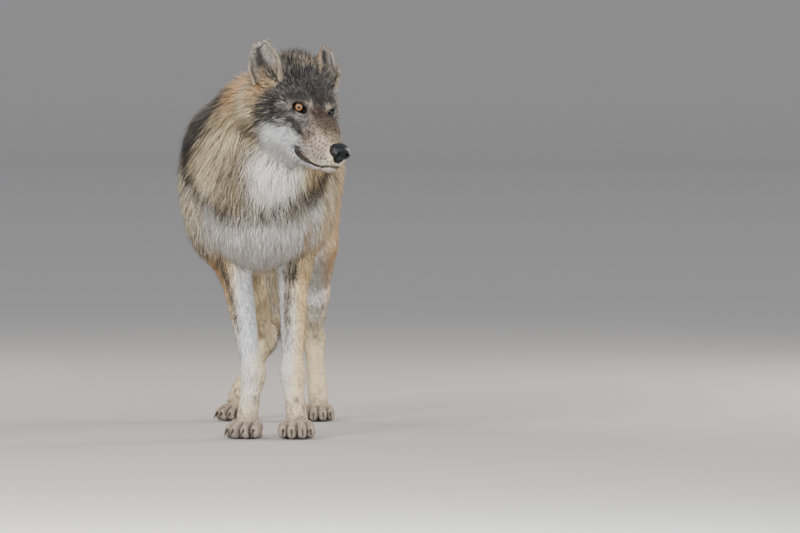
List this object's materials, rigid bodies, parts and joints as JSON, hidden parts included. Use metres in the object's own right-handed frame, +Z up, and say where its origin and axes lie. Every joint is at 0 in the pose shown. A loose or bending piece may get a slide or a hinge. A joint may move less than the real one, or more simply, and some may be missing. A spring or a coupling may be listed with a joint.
{
  "type": "grey wolf",
  "caption": "Life-size adult grey wolf standing still in winter coat, head turned to its left and a little down, tail hanging.",
  "frame": {"origin": "middle of the bounding box at floor level, between the soles of the four paws", "axes": "+Z up, -Y the way the body faces, +X the animal's left"},
  "size_m": [0.4054, 1.012, 0.858],
  "materials": {
    "coat_body": "matte winter fur, agouti grey over cream, dark collar over the withers",
    "coat_neck": "matte long fur, cream to tan",
    "coat_head": "matte short fur, salt-and-pepper with white cheeks and cinnamon muzzle",
    "coat_legs": "matte short fur, cream with a darker stripe down the forearms",
    "coat_tail": "matte long fur, tan with a dark tip",
    "nose": "bare, finely pebbled and damp",
    "eye": "wet amber iris with a small pupil and a dark rim",
    "claw": "smooth dark horn"
  },
  "bodies": {
    "root": {"claw_fore_left_1": "claw", "claw_fore_left_2": "claw", "claw_fore_left_3": "claw", "claw_fore_left_4": "claw", "claw_fore_right_1": "claw", "claw_fore_right_2": "claw", "claw_fore_right_3": "claw", "claw_fore_right_4": "claw", "claw_hind_left_1": "claw", "claw_hind_left_2": "claw", "claw_hind_left_3": "claw", "claw_hind_left_4": "claw", "claw_hind_right_1": "claw", "claw_hind_right_2": "claw", "claw_hind_right_3": "claw", "claw_hind_right_4": "claw", "ear_left": "coat_head", "ear_right": "coat_head", "eye_left": "eye", "eye_right": "eye", "foreleg_left": "coat_legs", "foreleg_right": "coat_legs", "forepaw_left": "coat_legs", "forepaw_right": "coat_legs", "head": "coat_head", "hindleg_left": "coat_legs", "hindleg_right": "coat_legs", "hindpaw_left": "coat_legs", "hindpaw_right": "coat_legs", "lower_jaw": "coat_head", "neck": "coat_neck", "nose_pad": "nose", "tail": "coat_tail", "trunk": "coat_body"}
  },
  "joints": []
}
